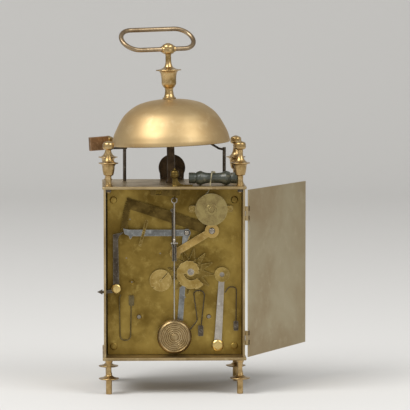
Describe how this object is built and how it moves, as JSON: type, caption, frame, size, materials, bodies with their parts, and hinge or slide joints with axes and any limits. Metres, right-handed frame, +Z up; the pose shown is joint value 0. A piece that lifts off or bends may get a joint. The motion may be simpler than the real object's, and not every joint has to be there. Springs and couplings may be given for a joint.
{
  "type": "lantern clock",
  "caption": "Small brass travelling lantern clock with rear door, bell on top, turned feet and finials, short pendulum and striking and alarm work.",
  "frame": {"origin": "centre of the case's footprint at the bottom of the feet", "axes": "+Z up, -Y towards the rear door's opening, +Y towards the dial, +X to the right seen from the rear; the rear door stands open at rest"},
  "size_m": [0.19, 0.1104, 0.3093],
  "materials": {
    "case_brass": "aged, satin",
    "turned_brass": "polished, worn",
    "bell_metal": "turned, satin",
    "movement_brass": "brushed",
    "bob_brass": "turned",
    "steel": "aged",
    "dark_iron": "dark patina",
    "enamel": "glossy enamel",
    "alarm_brass": "engraved, satin",
    "blued_hands": "blued",
    "toggle_wood": "turned, stained dark green, waxed",
    "cord": "twisted thread"
  },
  "bodies": {
    "case": {"bottom_plate": "case_brass", "top_plate": "case_brass", "left_side_panel": "case_brass", "right_side_panel": "case_brass", "front_panel": "case_brass", "front_crest": "dark_iron", "corner_feet": "turned_brass", "corner_finials": "turned_brass", "finial_nuts": "steel", "dial": "enamel", "dial_bezel": "turned_brass", "bell_post": "dark_iron", "bell": "bell_metal", "bell_nut": "turned_brass", "pull_toggle": "toggle_wood", "pull_cord": "cord", "suspension_cock": "turned_brass", "back_plate": "movement_brass", "front_plate": "movement_brass", "movement_pillars": "movement_brass", "movement_screws": "steel", "rack_hook_spring": "steel", "jumper_spring": "steel", "detent_blade": "steel", "blade_spring": "steel", "plate_bridges": "movement_brass"},
    "rear_door": {"rear_door": "case_brass"},
    "handle": {"carrying_handle": "turned_brass"},
    "strike_hammer": {"strike_hammer_arbor": "steel", "strike_hammer_head": "dark_iron"},
    "alarm_hammer": {"alarm_hammer": "steel"},
    "pendulum": {"pendulum_rod": "steel", "pendulum_bob": "bob_brass"},
    "crutch": {"crutch_and_pallets": "steel"},
    "rack": {"rack": "steel", "rack_tail": "movement_brass"},
    "rack_hook": {"rack_hook": "steel"},
    "lifting_lever": {"lifting_lever": "steel", "warning_strip": "movement_brass"},
    "star": {"star_wheel": "steel", "hour_snail": "movement_brass"},
    "minute_arbor": {"centre_wheel": "movement_brass", "hour_cam": "movement_brass"},
    "jumper": {"star_jumper": "steel", "jumper_roller": "movement_brass"},
    "pull_drum": {"pull_drum": "movement_brass"},
    "going_barrel": {"going_barrel": "movement_brass"},
    "second_wheel": {"second_wheel": "movement_brass"},
    "third_wheel": {"third_wheel": "movement_brass"},
    "escape_wheel": {"escape_wheel": "movement_brass"},
    "strike_barrel": {"strike_barrel": "movement_brass"},
    "pin_wheel": {"pin_wheel": "movement_brass"},
    "strike_second_wheel": {"strike_second_wheel": "movement_brass"},
    "gathering_wheel": {"gathering_wheel": "movement_brass"},
    "fly": {"fly": "movement_brass"},
    "cannon": {"cannon_wheel": "movement_brass", "minute_hand": "blued_hands"},
    "hour_wheel": {"hour_wheel": "movement_brass", "hour_hand": "blued_hands"},
    "alarm_disc": {"alarm_disc": "alarm_brass"}
  },
  "joints": [
    {"name": "door_swing", "type": "hinge", "parent": "case", "child": "rear_door", "pos_m": [0.061, -0.04705, 0.1], "axis": [0, 0, 1], "range_deg": [-242.5, 21]},
    {"name": "handle_swing", "type": "hinge", "parent": "case", "child": "handle", "pos_m": [-0.0043, 0, 0.29057], "axis": [0.906, 0.4226, 0.0221], "range_deg": [-100, 200]},
    {"name": "strike_hammer_turn", "type": "hinge", "parent": "case", "child": "strike_hammer", "pos_m": [-0.0413, 0.026, 0.1762], "axis": [0, 0, 1], "range_deg": [-12, 20], "stiffness_Nm_per_rad": 0.02},
    {"name": "alarm_hammer_turn", "type": "hinge", "parent": "case", "child": "alarm_hammer", "pos_m": [0.0442, 0.0127, 0.1762], "axis": [0, 0, 1], "range_deg": [-17.5, 8], "stiffness_Nm_per_rad": 0.02},
    {"name": "pendulum_swing", "type": "hinge", "parent": "case", "child": "pendulum", "pos_m": [0, -0.03655, 0.1656], "axis": [0, -1, 0], "range_deg": [-5, 5]},
    {"name": "crutch_swing", "type": "hinge", "parent": "case", "child": "crutch", "pos_m": [-0.0015, -0.03655, 0.1552], "axis": [0, -1, 0], "range_deg": [-6.6, 6.6]},
    {"name": "rack_fall", "type": "hinge", "parent": "case", "child": "rack", "pos_m": [0.032, -0.02525, 0.1376], "axis": [0, -1, 0], "range_deg": [0, 17.5]},
    {"name": "rack_hook_turn", "type": "hinge", "parent": "case", "child": "rack_hook", "pos_m": [-0.0491, -0.02525, 0.0881], "axis": [0, -1, 0], "range_deg": [0, 5], "stiffness_Nm_per_rad": 0.02, "deforming": ["rack_hook_spring"]},
    {"name": "lifting_lever_turn", "type": "hinge", "parent": "case", "child": "lifting_lever", "pos_m": [0.0107, -0.02525, 0.1358], "axis": [0, -1, 0], "range_deg": [-5, 0]},
    {"name": "jumper_turn", "type": "hinge", "parent": "case", "child": "jumper", "pos_m": [0.0371, -0.02525, 0.0396], "axis": [0, -1, 0], "range_deg": [-4, 0], "stiffness_Nm_per_rad": 0.02, "deforming": ["jumper_spring"]},
    {"name": "drum_turn", "type": "hinge", "parent": "case", "child": "pull_drum", "pos_m": [0.0313, -0.02525, 0.1561], "axis": [0, -1, 0], "range_deg": [0, 330]},
    {"name": "escape_wheel_turn", "type": "hinge", "parent": "case", "child": "escape_wheel", "pos_m": [-0.0015, 0, 0.1381], "axis": [0, -1, 0], "continuous": true},
    {"name": "third_wheel_turn", "type": "hinge", "parent": "case", "child": "third_wheel", "pos_m": [-0.01163, 0, 0.1179], "axis": [0, -1, 0], "continuous": true},
    {"name": "minute_arbor_turn", "type": "hinge", "parent": "case", "child": "minute_arbor", "pos_m": [-0.0114, 0, 0.0953], "axis": [0, -1, 0], "continuous": true},
    {"name": "second_wheel_turn", "type": "hinge", "parent": "case", "child": "second_wheel", "pos_m": [0.0095, 0, 0.0805], "axis": [0, -1, 0], "continuous": true},
    {"name": "going_barrel_turn", "type": "hinge", "parent": "case", "child": "going_barrel", "pos_m": [0.0296, 0, 0.0638], "axis": [0, -1, 0], "continuous": true},
    {"name": "star_turn", "type": "hinge", "parent": "case", "child": "star", "pos_m": [0.0141, -0.02525, 0.1025], "axis": [0, -1, 0], "continuous": true},
    {"name": "minute_hand_turn", "type": "hinge", "parent": "case", "child": "cannon", "pos_m": [0, 0.04725, 0.1042], "axis": [0, -1, 0], "continuous": true},
    {"name": "hour_hand_turn", "type": "hinge", "parent": "case", "child": "hour_wheel", "pos_m": [0, 0.04725, 0.1042], "axis": [0, -1, 0], "continuous": true},
    {"name": "alarm_disc_turn", "type": "hinge", "parent": "case", "child": "alarm_disc", "pos_m": [0, 0.04725, 0.1042], "axis": [0, -1, 0], "continuous": true},
    {"name": "fly_turn", "type": "hinge", "parent": "case", "child": "fly", "pos_m": [-0.0373, 0, 0.147], "axis": [0, -1, 0], "continuous": true},
    {"name": "gathering_wheel_turn", "type": "hinge", "parent": "case", "child": "gathering_wheel", "pos_m": [-0.0371, 0, 0.1315], "axis": [0, -1, 0], "continuous": true},
    {"name": "strike_second_wheel_turn", "type": "hinge", "parent": "case", "child": "strike_second_wheel", "pos_m": [-0.0404, 0, 0.114], "axis": [0, -1, 0], "continuous": true},
    {"name": "pin_wheel_turn", "type": "hinge", "parent": "case", "child": "pin_wheel", "pos_m": [-0.0358, 0, 0.0936], "axis": [0, -1, 0], "continuous": true},
    {"name": "strike_barrel_turn", "type": "hinge", "parent": "case", "child": "strike_barrel", "pos_m": [-0.0298, 0, 0.0638], "axis": [0, -1, 0], "continuous": true}
  ],
  "couplings": [
    {"joint": "crutch_swing", "follows": "pendulum_swing", "ratio": 1.2889},
    {"joint": "third_wheel_turn", "follows": "escape_wheel_turn", "ratio": -0.0625},
    {"joint": "minute_arbor_turn", "follows": "escape_wheel_turn", "ratio": 0.0056818},
    {"joint": "second_wheel_turn", "follows": "escape_wheel_turn", "ratio": -0.00078914},
    {"joint": "going_barrel_turn", "follows": "escape_wheel_turn", "ratio": 0.00011273},
    {"joint": "star_turn", "follows": "escape_wheel_turn", "ratio": -0.00047348},
    {"joint": "minute_hand_turn", "follows": "escape_wheel_turn", "ratio": -0.0056818},
    {"joint": "hour_hand_turn", "follows": "escape_wheel_turn", "ratio": -0.00047348},
    {"joint": "gathering_wheel_turn", "follows": "fly_turn", "ratio": -0.125},
    {"joint": "strike_second_wheel_turn", "follows": "fly_turn", "ratio": 0.017857},
    {"joint": "pin_wheel_turn", "follows": "fly_turn", "ratio": -0.0019841},
    {"joint": "strike_barrel_turn", "follows": "fly_turn", "ratio": 0.00028345}
  ]
}
